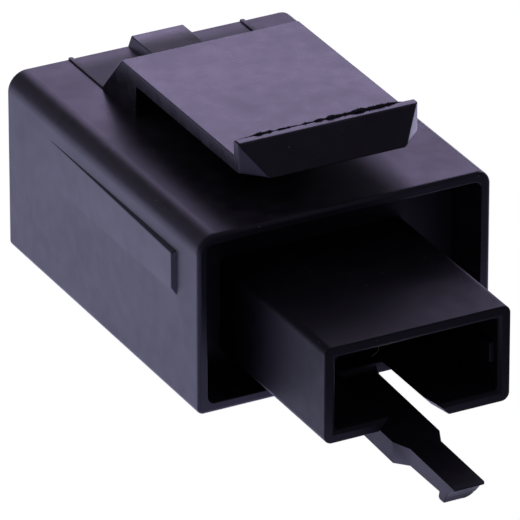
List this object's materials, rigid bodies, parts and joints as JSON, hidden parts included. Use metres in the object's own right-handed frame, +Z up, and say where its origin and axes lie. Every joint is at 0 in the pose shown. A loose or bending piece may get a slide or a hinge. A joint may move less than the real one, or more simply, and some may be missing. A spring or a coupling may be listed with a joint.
{
  "type": "automotive relay",
  "caption": "Plug-in clapper relay in a rectangular moulded case with a bracket clip on top and a latched connector socket at its open end.",
  "frame": {"origin": "middle of the part's bounding box, at the flat bottom of the case", "axes": "+Z up from the flat bottom to the bracket clip, -Y out of the connector end, +Y to the closed end, +X to the right seen from the connector end"},
  "size_m": [0.0348, 0.0738, 0.0273],
  "materials": {
    "moulded_black": "injection-moulded, soft gloss",
    "terminal_tin": "tin-plated, dull",
    "contact_silver": "smooth",
    "magnet_iron": "zinc-plated, dull",
    "coil_former": "injection-moulded, matt",
    "copper_wire": "enamelled, glossy",
    "coil_tape": "film, satin",
    "resistor_coat": "lacquered, satin",
    "spring_bronze": "rolled, smooth",
    "spring_steel": "drawn wire, smooth"
  },
  "bodies": {
    "housing": {"case": "moulded_black", "base": "moulded_black", "coil_terminal_a": "terminal_tin", "coil_terminal_b": "terminal_tin", "common_terminal": "terminal_tin", "contact_terminal": "terminal_tin", "fixed_contact": "contact_silver", "yoke": "magnet_iron", "core": "magnet_iron", "bobbin": "coil_former", "coil_winding": "copper_wire", "coil_tape": "coil_tape", "coil_pin_a": "terminal_tin", "coil_pin_b": "terminal_tin", "resistor_body": "resistor_coat", "resistor_lead_a": "terminal_tin", "resistor_lead_b": "terminal_tin", "return_spring": "spring_steel"},
    "clapper": {"armature": "magnet_iron", "contact_spring": "spring_bronze", "moving_contact": "contact_silver", "armature_rivets": "magnet_iron"}
  },
  "joints": [
    {"name": "armature_hinge", "type": "hinge", "parent": "housing", "child": "clapper", "pos_m": [-0.0112, 0.0277, 0.0102], "axis": [0, 0, -1], "range_deg": [0, 2.3], "stiffness_Nm_per_rad": 0.004, "springref_deg": -80.21}
  ]
}
